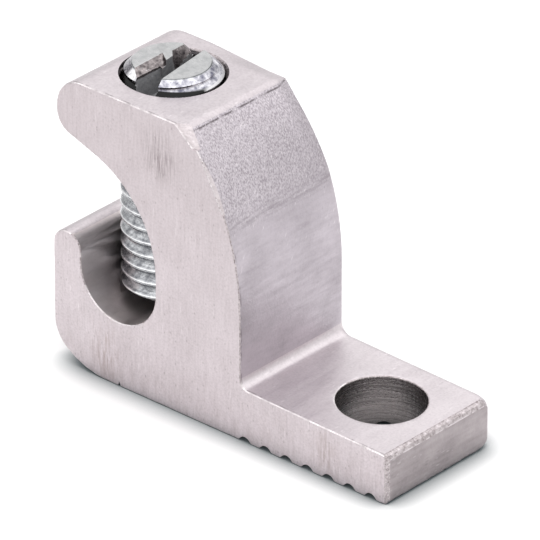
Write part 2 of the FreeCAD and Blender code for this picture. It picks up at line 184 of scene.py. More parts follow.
def windThread(name, root, crest, low, high):
    # A plane shrunk to one point is drawn out along one pitch, then wound up the screw's axis and cut flat.
    pitch = screwShape["pitch"]
    firstTurn = math.floor(low / pitch) - 1
    start = Vector((crest, 0, (firstTurn + screwShape["crestPhase"]) * pitch))
    bpy.ops.mesh.primitive_plane_add(size=mm, location=(0, 0, 0))
    rod = bpy.context.object
    rod.name = rod.data.name = name
    startEdit(rod)
    bpy.ops.mesh.merge(type="CENTER")
    bpy.ops.transform.translate(value=start)
    for before, after in zip(threadOutline, threadOutline[1:]):
        step = Vector(((after[1] - before[1]) * (crest - root), 0, (after[0] - before[0]) * pitch))
        bpy.ops.mesh.extrude_region_move(TRANSFORM_OT_translate={"value": step})
    endEdit()
    wind = rod.modifiers.new("wind", "SCREW")
    wind.angle = 2 * math.pi
    wind.screw_offset = pitch
    wind.iterations = math.ceil((high - low) / pitch) + 3
    wind.steps = wind.render_steps = screwShape["turnSteps"]
    bpy.ops.object.modifier_apply(modifier=wind.name)
    startEdit(rod)
    bpy.ops.mesh.remove_doubles(threshold=0.002 * mm)
    bpy.ops.mesh.select_all(action="SELECT")
    cutPlane((0, 0, low), (0, 0, 1), clear_inner=True)
    bpy.ops.mesh.select_all(action="SELECT")
    cutPlane((0, 0, high), (0, 0, 1), clear_outer=True)
    bpy.ops.mesh.select_all(action="SELECT")
    bpy.ops.mesh.fill_holes(sides=0)
    bpy.ops.mesh.normals_make_consistent(inside=False)
    bpy.ops.transform.translate(value=(screwAxis.x, screwAxis.y, 0))
    endEdit()
    return rod


# Where driver blades have broken the slot's left wall: a place inside each chip, then three corners
# of each side. Measured in mm across the slot, along it, and up from the base.
slotDamage = {
    "nearBevel": (
        (-0.3, -1.2, 20.6),
        ((-1.24, -1.82, 20.35), (-1.0, 0.41, 20.35), (-0.54, -0.27, 20.1)),
        ((-1.0, 0.50, 20.3), (-0.35, -0.1, 20.3), (-0.35, -0.1, 19.3)),
        ((0.2, -1, 20), (0.2, 1, 20), (0.2, 1, 19))),
    "nearWall": (
        (0.0, -2.6, 19.9),
        ((-0.80, -2.6, 20.1), (-0.5, -0.3, 20.1), (-0.36, -1.5, 18.9)),
        ((-1, 0.0, 20), (1, -0.3, 20), (1, -0.3, 19)),
        ((0.2, -1, 20), (0.2, 1, 20), (0.2, 1, 19)),
        ((0, 0, 18.72), (1, 0, 18.72), (0, 1, 18.72))),
    "farFacet": (
        (0.0, 2.2, 20.3),
        ((-0.74, 1.02, 20.38), (-0.58, 2.08, 20.38), (-0.32, 1.76, 19.48)),
        ((-0.80, 1.2, 20.3), (-0.25, 0.45, 20.3), (-0.25, 0.45, 19.3)),
        ((0.2, -1, 20), (0.2, 1, 20), (0.2, 1, 19))),
    "farEnd": (
        (-0.1, 2.9, 20.4),
        ((-0.58, 2.08, 20.38), (-0.32, 2.37, 19.75), (-1.0, 2.62, 20.38)),
        ((0.2, -1, 20), (0.2, 1, 20), (0.2, 1, 19)),
        ((0, 0, 19.5), (1, 0, 19.5), (0, 1, 19.5))),
}
slotChip = {"size": 4 * mm, "grain": 0.13 * mm, "roughness": 0.02 * mm}
screwTurn = math.radians(8)


def fromSlotAxes(across, along, up):
    turned = Matrix.Rotation(screwTurn, 3, "Z") @ Vector((across, along, up))
    return turned * mm + Vector((screwAxis.x, screwAxis.y, 0))


def makeBlank():
    # the screw before its thread was rolled: a bar bevelled at both ends, with the driver's slot
    length = screwHigh.z - screwLow.z
    bpy.ops.mesh.primitive_cylinder_add(
        vertices=2 * screwShape["turnSteps"], radius=screwShape["crestRadius"], depth=length,
        location=(0, 0, 0))
    blank = bpy.context.object
    blank.name = blank.data.name = "screwBlank"
    for up, bevel in ((1, screwShape["topBevel"]), (-1, screwShape["tipBevel"])):
        mesh = startEdit(blank, "DESELECT")
        bpy.ops.mesh.select_mode(type="EDGE")
        for edge in mesh.edges:
            edge.select_set(all(vertex.co.z * up > length / 2 - weld for vertex in edge.verts))
        bpy.ops.mesh.bevel(offset=bevel, segments=1, affect="EDGES")
        bpy.ops.mesh.select_mode(type="VERT")
        endEdit()
    startEdit(blank)
    bpy.ops.transform.translate(value=(screwAxis.x, screwAxis.y, screwAxis.z))
    endEdit()

    bpy.ops.mesh.primitive_cube_add(size=1, location=(0, 0, 0))
    slot = bpy.context.object
    slot.name = slot.data.name = "slotCutter"
    startEdit(slot)
    size = screwShape["slotWidth"], screwShape["slotLength"], 2 * screwShape["slotDepth"]
    bpy.ops.transform.resize(value=size)
    bpy.ops.transform.translate(value=(screwShape["slotOffset"], 0, 0))
    bpy.ops.transform.rotate(value=-screwTurn, orient_axis="Z", center_override=(0, 0, 0))
    bpy.ops.transform.translate(value=(screwAxis.x, screwAxis.y, screwHigh.z))
    endEdit()
    cutAway(blank, slot)
    return blank


def makeScrew():
    screw = windThread("clampScrew", screwShape["rootRadius"], screwShape["crestRadius"],
                       screwLow.z - mm, screwHigh.z + mm)
    cutAway(screw, makeBlank(), "INTERSECT")
    for name, (heart, *sides) in slotDamage.items():
        cuts = [[fromSlotAxes(*corner) for corner in corners] for corners in sides]
        chipAway(screw, name, fromSlotAxes(*heart), cuts, **slotChip)
    return screw


# Lug

lugShape = {
    "tapLow": 12.3 * mm,
    "tapRoot": 3.21 * mm,
    "tapCrest": 3.43 * mm,
    "cell": 0.3 * mm,  # spacing of the cuts that make its faces workable
    "rimBreak": 0.09 * mm,
    "endZone": 3.5 * mm,  # past this the tongue's end is rounded by planes
    "endTop": 0.4 * mm,
    "endBottom": 0.34 * mm,
    "endSide": 0.26 * mm,
    "farCorner": 0.68 * mm,
    "farZone": (1.2 * mm, 3.1 * mm),  # the strip beyond the hole that they lie in, from x and from y
    "edgeBack": 0.33 * mm,  # the rounded edges lie within this of the end's face,
    "edgeTop": 3.0 * mm,  # and above this height,
    "edgeBottom": 0.25 * mm,  # below this one,
    "edgeSide": 0.27 * mm,  # or within this of the near face
    "backRadius": 16.4 * mm,
    "backCentre": Vector((-23.43 * mm, 0, 8.45 * mm)),
    "crownPlace": Vector((-11.5 * mm, 0, 19.5 * mm)),
    "crownRoll": 1.4 * mm,
    "crownReach": 6 * mm,
}
# the planes that round a far corner of the end: their leanings along x, along y, and up or down
farLeans = (
    (1, 1, 1), (0.35, 1, 1), (0.6, 0.6, 1), (0.6, 1, 0.6),
    (1, 1, 0.5), (1, 0.5, 1), (0.2, 0.55, 1), (0.2, 1, 0.55))
# clouds that press its edges in: how deep, and how wide a cloud is
lugWear = {
    "burr": (0.03 * mm, 0.5 * mm),
    "endEdges": (0.07 * mm, 0.22 * mm),
    "crown": (0.26 * mm, None),
}

# Knocks on the near edge: a place outside, then three corners of the cut, in mm.
knocks = {
    "crownKnock": (
        (-11.0, -5.0, 19.9),
        ((-11.98, -4.7625, 19.38), (-10.32, -4.7625, 17.95), (-11.30, -4.20, 19.50))),
    "backKnock": (
        (-8.6, -5.0, 16.3),
        ((-9.93, -4.7625, 17.55), (-8.30, -4.7625, 14.50), (-8.90, -4.54, 16.05))),
}
knockBlock = {"size": 3 * mm, "grain": 0.12 * mm, "roughness": 0.015 * mm}


def onNearChamfer(normal, centre):
    return 0.5 < -normal.y < 0.9 and centre.y < lugLow.y + 0.08 * mm


def bordersNearChamfer(edge):
    # whether it lies between the near edge's chamfer and another face
    sides = [onNearChamfer(face.normal, face.calc_center_median()) for face in edge.link_faces]
    return any(sides) and not all(sides)


def fromAxis(point, axis):
    return math.hypot(point.x - axis.x, point.y - axis.y)


def onHoleRim(vertex):
    return abs(fromAxis(vertex.co, holeAxis) - holeRadius) < 0.01 * mm and vertex.co.z > 3 * mm


def breakHoleRim(lug):
    mesh = startEdit(lug, "DESELECT")
    bpy.ops.mesh.select_mode(type="EDGE")
    for edge in mesh.edges:
        first, last = edge.verts
        level = abs(first.co.z - last.co.z) < 0.1 * mm
        edge.select_set(level and onHoleRim(first) and onHoleRim(last))
    bpy.ops.mesh.bevel(offset=lugShape["rimBreak"], segments=2, affect="EDGES")
    bpy.ops.mesh.select_mode(type="VERT")
    endEdit()


def inEndZone(face):
    return face.calc_center_median().x > lugShape["endZone"]


def inFarZone(face):
    centre = face.calc_center_median()
    return centre.x > lugShape["farZone"][0] and centre.y > lugShape["farZone"][1]


def roundEnd(lug):
    # the tongue's end was sheared: planes round its top, bottom and near corners
    top = max(v.co.z for v in lug.data.vertices if v.co.x > lugHigh.x - 0.01 * mm)
    startEdit(lug)
    cutPlane((lugShape["endZone"], 0, 0), (1, 0, 0))
    endEdit()
    for corner, inward, radius in (
        (Vector((lugHigh.x, 0, top)), Vector((-1, 0, -1)), lugShape["endTop"]),
        (Vector((lugHigh.x, 0, lugLow.z)), Vector((-1, 0, 1)), lugShape["endBottom"]),
        (Vector((lugHigh.x, lugLow.y, 0)), Vector((-1, 1, 0)), lugShape["endSide"]),
    ):
        middle = corner + inward * radius
        others = Vector((0, -inward.y, -inward.z))
        for degrees in (22.5, 67.5):
            turn = math.radians(degrees)
            normal = Vector((math.cos(turn), 0, 0)) + others * math.sin(turn)
            pickFaces(lug, inEndZone)
            cutPlane(middle + normal * radius, normal, clear_outer=True, use_fill=True)
            endEdit()
    # the far corners were beaten rounder still, within a strip beyond the hole
    radius = lugShape["farCorner"]
    startEdit(lug)
    cutPlane((lugShape["farZone"][0], 0, 0), (1, 0, 0))
    bpy.ops.mesh.select_all(action="SELECT")
    cutPlane((0, lugShape["farZone"][1], 0), (0, 1, 0))
    endEdit()
    for height, upward in ((top, 1), (lugLow.z, -1)):
        middle = Vector((lugHigh.x, lugHigh.y, height)) - Vector((1, 1, upward)) * radius
        for along, across, up in farLeans:
            normal = Vector((along, across, up * upward)).normalized()
            pickFaces(lug, inFarZone)
            cutPlane(middle + normal * radius, normal, clear_outer=True, use_fill=True)
            endEdit()


def subdivideEdges(piece, test, cuts):
    mesh = startEdit(piece, "DESELECT")
    bpy.ops.mesh.select_mode(type="EDGE")
    for edge in mesh.edges:
        edge.select_set(test(edge))
    bpy.ops.mesh.subdivide(number_cuts=cuts, ngon=True)
    bpy.ops.mesh.select_mode(type="VERT")
    endEdit()


def pressIn(piece, name, weightOf):
    # presses the points in along their normals, by clouds or evenly, where weightOf says
    depth, size = lugWear[name]
    group = piece.vertex_groups.new(name=name)
    for vertex in piece.data.vertices:
        weight = weightOf(vertex)
        if weight > 0:
            group.add([vertex.index], weight, "REPLACE")
    press = piece.modifiers.new(name, "DISPLACE")
    press.vertex_group = name
    press.strength = depth
    press.mid_level = 2
    if size:
        clouds = bpy.data.textures.new(name, "CLOUDS")
        clouds.noise_scale = size
        press.texture = clouds
        press.texture_coords = "LOCAL"
        press.mid_level = 1
    onlyActive(piece)
    bpy.ops.object.modifier_apply(modifier=press.name)


def farCrown(vertex):
    # how near a point is to the far edge of the crown, where the cut rolled it over most
    point = vertex.co
    away = lugShape["backCentre"] - point
    inside = min(lugHigh.z - point.z, lugShape["backRadius"] - math.hypot(away.x, away.z))
    toCrown = lugShape["crownPlace"] - point
    edge = 1 - math.hypot(lugHigh.y - point.y, max(inside, 0)) / lugShape["crownRoll"]
    along = 1 - math.hypot(toCrown.x, toCrown.z) / lugShape["crownReach"]
    return max(0, min(1, 1.6 * edge)) * max(0, min(1, 1.3 * along))


def onEndEdge(point):
    # the rounded corners round the sheared end
    within = lugShape["edgeBottom"] <= point.z <= lugShape["edgeTop"]
    onFace = within and point.y >= lugLow.y + lugShape["edgeSide"]
    return point.x > lugHigh.x - lugShape["edgeBack"] and not onFace


def flattenOnto(piece, y):
    # nothing is left standing out of the near face
    mesh = startEdit(piece, "DESELECT")
    for vertex in mesh.verts:
        vertex.select_set(vertex.co.y < y)
    bpy.ops.transform.resize(value=(1, 0, 1), center_override=(0, y, 0))
    endEdit()


def makeLug():
    lug = copyOfNode("lug_body", "lugExtrusion")
    breakHoleRim(lug)
    tap = windThread("tap", lugShape["tapRoot"], lugShape["tapCrest"], lugShape["tapLow"], lugHigh.z + mm)
    cutAway(lug, tap)
    roundEnd(lug)
    startEdit(lug)
    for axis in (1, 0, 2):
        sliceUp(lug, axis, lugLow[axis], lugHigh[axis], lugShape["cell"])
    endEdit()
    subdivideEdges(lug, bordersNearChamfer, 2)
    subdivideEdges(lug, lambda edge: all(onEndEdge(vertex.co) for vertex in edge.verts), 2)
    for name, (heart, *sides) in knocks.items():
        cuts = [[Vector(corner) * mm for corner in corners] for corners in sides]
        chipAway(lug, name, Vector(heart) * mm, cuts, **knockBlock)

    nearEdge = set()
    for face in lug.data.polygons:
        if onNearChamfer(face.normal, face.center):
            nearEdge.update(face.vertices)
    pressIn(lug, "burr", lambda vertex: float(vertex.index in nearEdge))
    pressIn(lug, "endEdges", lambda vertex: float(onEndEdge(vertex.co)))
    pressIn(lug, "crown", farCrown)
    flattenOnto(lug, lugLow.y)
    return lug


# Shader groups

def newGroup(name, inputs, outputs):
    group = bpy.data.node_groups.new(name, "ShaderNodeTree")
    for label, kind, value in inputs:
        socket = group.interface.new_socket(name=label, in_out="INPUT", socket_type="NodeSocket" + kind)
        socket.default_value = value
    for label, kind in outputs:
        group.interface.new_socket(name=label, in_out="OUTPUT", socket_type="NodeSocket" + kind)
    return group, group.nodes.new("NodeGroupInput"), group.nodes.new("NodeGroupOutput")


def give(tree, socket, value):
    if isinstance(value, bpy.types.NodeSocket):
        tree.links.new(value, socket)
    else:
        socket.default_value = value


def addNode(tree, kind, settings=None, **values):
    node = tree.nodes.new("ShaderNode" + kind)
    for name, value in (settings or {}).items():
        setattr(node, name, value)
    for name, value in values.items():
        give(tree, node.inputs[name.replace("_", " ")], value)
    return node


def mathNode(tree, operation, first, second=0.0, clamp=False):
    node = tree.nodes.new("ShaderNodeMath")
    node.operation = operation
    node.use_clamp = clamp
    give(tree, node.inputs[0], first)
    give(tree, node.inputs[1], second)
    return node.outputs[0]


def vectorNode(tree, operation, first, second):
    node = tree.nodes.new("ShaderNodeVectorMath")
    node.operation = operation
    give(tree, node.inputs[0], first)
    give(tree, node.inputs[1], second)
    return node.outputs[0]


def makeGrainGroup():
    # streaks or clouds: noise on a place stretched by Stretch, between Low and High
    group, given, out = newGroup("grain", (
        ("Place", "Vector", (0, 0, 0)), ("Stretch", "Vector", (1, 1, 1)), ("Detail", "Float", 4.0),
        ("Low", "Float", 0.35), ("High", "Float", 0.65)), (("Mask", "Float"),))
    stretched = vectorNode(group, "MULTIPLY", given.outputs["Place"], given.outputs["Stretch"])
    pattern = addNode(group, "TexNoise", Vector=stretched, Scale=1.0, Detail=given.outputs["Detail"],
                      Roughness=0.6)
    spread = addNode(group, "MapRange", Value=pattern.outputs[0], From_Min=given.outputs["Low"],
                     From_Max=given.outputs["High"])
    group.links.new(spread.outputs["Result"], out.inputs["Mask"])
    return group


def makeMarksGroup():
    # scattered marks, one in some cells, turned about X: pits if Stretch is even, short scratches if not
    group, given, out = newGroup("marks", (
        ("Place", "Vector", (0, 0, 0)), ("Turn", "Float", 0.0), ("Stretch", "Vector", (1, 1, 1)),
        ("Share", "Float", 0.2), ("Size", "Float", 0.3)), (("Mask", "Float"),))
    turned = addNode(group, "VectorRotate", {"rotation_type": "X_AXIS"}, Vector=given.outputs["Place"],
                     Angle=given.outputs["Turn"])
    stretched = vectorNode(group, "MULTIPLY", turned.outputs[0], given.outputs["Stretch"])
    cells = addNode(group, "TexVoronoi", Vector=stretched, Scale=1.0)
    pick = addNode(group, "SeparateColor", Color=cells.outputs["Color"])
    chosen = mathNode(group, "LESS_THAN", pick.outputs[0], given.outputs["Share"])
    size = mathNode(group, "MULTIPLY", given.outputs["Size"], mathNode(group, "ADD", pick.outputs[1], 0.3))
    near = addNode(group, "MapRange", Value=cells.outputs["Distance"], From_Min=size, From_Max=0.0)
    mark = mathNode(group, "MULTIPLY", chosen, near.outputs["Result"])
    group.links.new(mark, out.inputs["Mask"])
    return group


def makeBandGroup():
    # a soft line where Value is Middle, out to Half on both sides
    group, given, out = newGroup("band", (
        ("Value", "Float", 0.0), ("Middle", "Float", 0.0), ("Half", "Float", 1.0)), (("Mask", "Float"),))
    off = mathNode(group, "SUBTRACT", given.outputs["Value"], given.outputs["Middle"])
    away = mathNode(group, "ABSOLUTE", off)
    share = mathNode(group, "DIVIDE", away, given.outputs["Half"])
    group.links.new(mathNode(group, "SUBTRACT", 1.0, share, True), out.inputs["Mask"])
    return group


def makeHollowGroup():
    # how shut in a place is by what stands within Reach of it
    group, given, out = newGroup("hollow", (
        ("Reach", "Float", mm), ("Strength", "Float", 1.0)), (("Mask", "Float"),))
    openness = addNode(group, "AmbientOcclusion", {"samples": 8}, Distance=given.outputs["Reach"])
    shut = mathNode(group, "SUBTRACT", 1.0, openness.outputs["AO"])
    mask = mathNode(group, "MULTIPLY", shut, given.outputs["Strength"], True)
    group.links.new(mask, out.inputs["Mask"])
    return group


groups = {
    "grain": makeGrainGroup(),
    "marks": makeMarksGroup(),
    "band": makeBandGroup(),
    "hollow": makeHollowGroup(),
}


# Finishes

def useGroup(tree, name, **values):
    node = tree.nodes.new("ShaderNodeGroup")
    node.node_tree = groups[name]
    for label, value in values.items():
        give(tree, node.inputs[label], value)
    return node.outputs["Mask"]


def startMaterial(name, metallic):
    material = bpy.data.materials.new(name)
    material.use_nodes = True
    tree = material.node_tree
    shader = tree.nodes["Principled BSDF"]
    shader.inputs["Metallic"].default_value = metallic
    place = addNode(tree, "TexCoord").outputs["Object"]
    inMillimetres = vectorNode(tree, "SCALE", place, (0, 0, 0))
    inMillimetres.node.inputs["Scale"].default_value = 1 / mm
    return material, tree, shader, inMillimetres


def blend(tree, mask, first, second):
    # a colour or number that goes from first to second with the mask
    colour = not isinstance(first, (int, float)) and not (
        isinstance(first, bpy.types.NodeSocket) and first.type == "VALUE")
    node = tree.nodes.new("ShaderNodeMix")
    node.data_type = "RGBA" if colour else "FLOAT"
    a, b, result = (6, 7, 2) if colour else (2, 3, 0)
    give(tree, node.inputs[0], mask)
    for index, value in ((a, first), (b, second)):
        if colour and not isinstance(value, bpy.types.NodeSocket):
            value = (*value, 1)
        give(tree, node.inputs[index], value)
    return node.outputs[result]


def times(tree, first, *others):
    for other in others:
        first = mathNode(tree, "MULTIPLY", first, other)
    return first


def weigh(tree, *terms):
    # the sum of masks, each times its share
    total = None
    for mask, share in terms:
        part = times(tree, mask, share)
        total = mathNode(tree, "ADD", total, part, True) if total else part
    return total


def cover(tree, colour, tint, *masks):
    # the colour with a tint laid over it, where all the masks are
    return blend(tree, times(tree, *masks), colour, tint)


def ramp(tree, value, start, end):
    # from 0 where value is start to 1 where it is end
    return addNode(tree, "MapRange", Value=value, From_Min=start, From_Max=end).outputs["Result"]


def near(tree, value, line):
    middle, half = line
    return useGroup(tree, "band", Value=value, Middle=middle, Half=half)


def finish(tree, shader, colour, roughness, height=None, depth=0.0):
    give(tree, shader.inputs["Base Color"], colour)
    give(tree, shader.inputs["Roughness"], roughness)
    if height:
        bump = addNode(tree, "Bump", Height=height, Distance=depth, Strength=1.0)
        give(tree, shader.inputs["Normal"], bump.outputs[0])


# Streaks are per millimetre. Shares are of streaks, clouds and specks in the dark colour, then of the
# scratches that are drawn over them.
aluminium = {
    "sawn": {
        "light": (0.69, 0.627, 0.65), "dark": (0.41, 0.36, 0.37), "rough": (0.42, 0.56),
        "streak": (7.0, 1.0, 0.6), "shares": (0.09, 0.16, 0.36), "scratch": (9, 9, 1.2), "scratched": 0.07,
        "depth": 0.004 * mm},
    "extruded": {
        "light": (0.63, 0.58, 0.60), "dark": (0.38, 0.34, 0.36), "rough": (0.36, 0.52),
        "streak": (2.5, 0.25, 2.5), "shares": (0.10, 0.20, 0.34), "scratch": (6, 2, 6), "scratched": 0.05,
        "depth": 0.003 * mm},
    "back": {
        "light": (0.53, 0.486, 0.524), "dark": (0.27, 0.24, 0.262), "rough": (0.38, 0.55),
        "streak": (3.0, 0.4, 3.0), "shares": (0.10, 0.30, 0.14), "scratch": (7, 10, 2.4), "scratched": 0.03,
        "depth": 0.006 * mm},
    "channel": {
        "light": (0.84, 0.775, 0.775), "dark": (0.46, 0.41, 0.40), "rough": (0.3, 0.45),
        "streak": (1.2, 0.2, 1.2), "shares": (0.25, 0.3, 0.05), "scratch": (6, 2, 6), "scratched": 0.02,
        "depth": 0.003 * mm, "shut": 0.25},
    # the end face: darker partly as painted shade, partly from its own rougher finish
    "shearedShaded": {
        "light": (0.43, 0.387, 0.397), "dark": (0.20, 0.175, 0.18), "rough": (0.36, 0.5),
        "streak": (3.0, 0.25, 3.0), "shares": (0.16, 0.40, 0.12), "scratch": (6, 2, 6), "scratched": 0.06,
        "depth": 0.004 * mm},
    "bored": {
        "light": (0.56, 0.515, 0.515), "dark": (0.20, 0.18, 0.18), "rough": (0.2, 0.34),
        "streak": (0.25, 0.25, 6.0), "shares": (0.45, 0.2, 0.1), "scratch": (2, 2, 9), "scratched": 0.05,
        "depth": 0.008 * mm, "shut": 0.75},
    # the up-facing near chamfer and one side of the hole's rim: a real burr, its brightness partly a
    # painted highlight
    "burr": {
        "light": (0.84, 0.79, 0.80), "dark": (0.34, 0.30, 0.31), "rough": (0.22, 0.35),
        "streak": (1.2, 1.2, 1.2), "shares": (0.6, 0.0, 0.3), "scratch": (5, 5, 5), "scratched": 0.04,
        "depth": 0.006 * mm},
    "knocked": {
        "light": (0.70, 0.64, 0.655), "dark": (0.36, 0.31, 0.32), "rough": (0.32, 0.45),
        "streak": (1.0, 1.0, 5.0), "shares": (0.45, 0.1, 0.2), "scratch": (5, 5, 2), "scratched": 0.06,
        "depth": 0.01 * mm},
    "scuffed": {
        "light": (0.64, 0.585, 0.60), "dark": (0.20, 0.165, 0.165), "rough": (0.34, 0.5),
        "streak": (3.5, 3.5, 3.5), "shares": (0.55, 0.0, 0.45), "scratch": (5, 5, 5), "scratched": 0.08,
        "depth": 0.008 * mm},
    # near black: painted shade on the near chamfer where it faces away and on the lip, real wear on the
    # end's near edge
    "wornAndShaded": {
        "light": (0.60, 0.54, 0.55), "dark": (0.10, 0.08, 0.08), "rough": (0.3, 0.5),
        "streak": (5.0, 5.0, 5.0), "shares": (0.55, 0.0, 0.35), "scratch": (5, 5, 5), "scratched": 0.08,
        "depth": 0.012 * mm},
}

# what the aluminium finishes share: kinds of grain, scratches, painted shade in hollows, a dark line along
# the near edge
aluminiumGrain = {
    "streaks": {"Detail": 6.0, "Low": 0.36, "High": 0.68},
    "clouds": {"Stretch": (0.4, 0.4, 0.4), "Detail": 4.0, "Low": 0.38, "High": 0.66},
    "specks": {"Stretch": (6.5, 6.5, 6.5), "Detail": 2.0, "Low": 0.4, "High": 0.75},
    "patches": {"Stretch": (0.33, 0.33, 0.33), "Detail": 1.0, "Low": 0.5, "High": 0.62},
    "flecks": {"Stretch": (9, 13, 6), "Detail": 2.0, "Low": 0.42, "High": 0.6},
    "ragged": {"Stretch": (2, 0.6, 6), "Detail": 5.0, "Low": 0.42, "High": 0.6},
    "dashes": {"Stretch": (1, 1.1, 1), "Detail": 5.0, "Low": 0.36, "High": 0.5},
    "broken": {"Stretch": (1.6, 1.6, 1.6), "Detail": 3.0, "Low": 0.45, "High": 0.6},
    "brown": {"Stretch": (3, 1, 0.9), "Detail": 5.0, "Low": 0.44, "High": 0.66},
    "scraped": {"Detail": 4.0, "Low": 0.44, "High": 0.64},
}
scratches = {
    "outside": 0.15,
    "dark": 0.42,
    "darkSize": 0.5,
    "bright": 0.4,
    "brightSize": 0.45,
    "glint": (0.93, 0.88, 0.9),
    "moved": (3.7, 5.1, 2.3),
}
# painted shade in the channel and the bore: how far round it looks, and its colour
shutIn = {"reach": 4 * mm, "tint": (0.035, 0.03, 0.03)}
nearEdgeLine = {"line": (lugLow.y / mm + 0.13, 0.08), "share": 0.75, "tint": (0.2, 0.17, 0.18)}

# The back in mm: where its abraded part begins, the scuffed line under it, painted shade on its far side
# and painted shade under the crown.
abraded = {
    "start": (13.1, 14.9),
    "turn": math.radians(39),
    "scratched": 0.8,
    "flecks": 0.55,
    "between": 0.45,
    "pale": (0.72, 0.67, 0.71),
    "shadedSide": (-1.5, 4.5),
    "shadedHeight": (15.6, 3.6),
    "shadeShare": 0.4,
    "scuffLine": (13.95, 0.7),
    "scuffs": 0.6,
    "crownLine": (19.28, 0.07),
    "crownShade": (0.1, 0.085, 0.09),
}

# the sawn faces: darker towards the head as painted shade, brown towards the base, and pitted
sawn = {
    "shadedFrom": (3.0, 16.0),
    "shadeShare": 0.34,
    "base": (0.5, 3.2),
    "brown": 0.24,
    "brownTint": (0.36, 0.29, 0.29),
    "pits": {"Stretch": (4.5, 4.5, 3), "Share": 0.16, "Size": 0.35},
    "pitted": 0.5,
    "pitTint": (0.22, 0.18, 0.185),
}
# scrapes and stains on the near face: middle and half width along x and z, grain, and colour
nearMarks = {
    "headScrape": ((-13.4, 1.7), (16.9, 2.2), (15, 1, 0.8), (0.20, 0.165, 0.17)),
    "toeStain": ((-17.9, 1.5), (1.8, 2.8), (6, 1, 0.9), (0.42, 0.34, 0.33)),
    "tongueStain": ((-0.3, 1.3), (1.6, 2.2), (6, 1, 0.9), (0.42, 0.35, 0.34)),
}
# painted light on the tongue's top: none above the first height, full below the second; its share and
# colour
tongueLight = {"from": (6.0, 4.0), "share": 0.12, "tint": (0.9, 0.84, 0.86)}


def abradeBack(tree, grained, axes, colour, dark):
    # flecks all over the upper part, painted shade on the far side, scuffs below and painted shade under
    # the crown
    across, up = axes.outputs["Y"], axes.outputs["Z"]
    top = ramp(tree, up, *abraded["start"])
    flecks = grained("flecks")
    colour = cover(tree, colour, dark, flecks, top, abraded["flecks"])
    between = mathNode(tree, "SUBTRACT", 1.0, flecks)
    colour = cover(tree, colour, abraded["pale"], between, top, abraded["between"])
    # painted shade on the far side, about mid height
    shadedSide = ramp(tree, across, *abraded["shadedSide"])
    colour = cover(tree, colour, dark, shadedSide, near(tree, up, abraded["shadedHeight"]), abraded["shadeShare"])
    scuffs = near(tree, up, abraded["scuffLine"])
    colour = cover(tree, colour, dark, scuffs, grained("ragged"), abraded["scuffs"])
    # painted shade in a broken line under the crown
    underCrown = near(tree, up, abraded["crownLine"])
    return top, cover(tree, colour, abraded["crownShade"], underCrown, grained("dashes"))


def markSawn(tree, grained, place, axes, colour, dark):
    up = axes.outputs["Z"]
    # painted shade: the colour darkens towards the head
    colour = cover(tree, colour, dark, ramp(tree, up, *sawn["shadedFrom"]), sawn["shadeShare"])
    low = near(tree, up, sawn["base"])
    colour = cover(tree, colour, sawn["brownTint"], grained("brown"), low, sawn["brown"])
    nearFace = mathNode(tree, "LESS_THAN", axes.outputs["Y"], 0.0)
    for along, height, grain, tint in nearMarks.values():
        scraped = grained("scraped", Stretch=grain)
        there = times(tree, near(tree, axes.outputs["X"], along), near(tree, up, height))
        colour = cover(tree, colour, tint, scraped, there, nearFace)
    pits = useGroup(tree, "marks", Place=place, **sawn["pits"])
    return cover(tree, colour, sawn["pitTint"], pits, sawn["pitted"])


def makeAluminium(name):
    look = aluminium[name]
    material, tree, shader, place = startMaterial(name + "Aluminium", 1.0)
    axes = addNode(tree, "SeparateXYZ", Vector=place)

    def grained(kind, **more):
        return useGroup(tree, "grain", Place=place, **aluminiumGrain[kind], **more)

    streaks = grained("streaks", Stretch=look["streak"])
    clouds, specks = grained("clouds"), grained("specks")
    darkened = weigh(tree, *zip((streaks, clouds, specks), look["shares"]))
    colour = blend(tree, darkened, look["light"], look["dark"])

    # scratches gather in patches, and some are bright, some dark
    gathered = mathNode(tree, "ADD", grained("patches"), scratches["outside"])
    share = times(tree, gathered, look["scratched"] * 4)
    turn = 0.0
    if name == "back":
        top, colour = abradeBack(tree, grained, axes, colour, look["dark"])
        share = mathNode(tree, "ADD", share, times(tree, top, abraded["scratched"]))
        turn = abraded["turn"]
    kind = {"Turn": turn, "Stretch": look["scratch"], "Share": share}
    dark = useGroup(tree, "marks", Place=place, Size=scratches["darkSize"], **kind)
    moved = vectorNode(tree, "ADD", place, scratches["moved"])
    bright = useGroup(tree, "marks", Place=moved, Size=scratches["brightSize"], **kind)
    colour = cover(tree, colour, look["dark"], dark, scratches["dark"])
    colour = cover(tree, colour, scratches["glint"], bright, scratches["bright"])
    height = mathNode(tree, "SUBTRACT", mathNode(tree, "SUBTRACT", specks, streaks), dark)

    if name in ("extruded", "back", "sawn"):
        # a dark line lies along just behind the near edge, broken up
        line = near(tree, axes.outputs["Y"], nearEdgeLine["line"])
        colour = cover(tree, colour, nearEdgeLine["tint"], line, grained("broken"), nearEdgeLine["share"])
    if name == "sawn":
        colour = markSawn(tree, grained, place, axes, colour, look["dark"])
    if name == "extruded":
        # painted light: the tongue's top is made lighter than the head's
        tongueLit = ramp(tree, axes.outputs["Z"], *tongueLight["from"])
        colour = cover(tree, colour, tongueLight["tint"], tongueLit, tongueLight["share"])
    if name in ("channel", "bored"):
        # painted shade in the hollows of the channel and the bore
        shut = useGroup(tree, "hollow", Reach=shutIn["reach"], Strength=look["shut"])
        colour = cover(tree, colour, shutIn["tint"], shut)
    finish(tree, shader, colour, blend(tree, streaks, *look["rough"]), height, look["depth"])
    return material


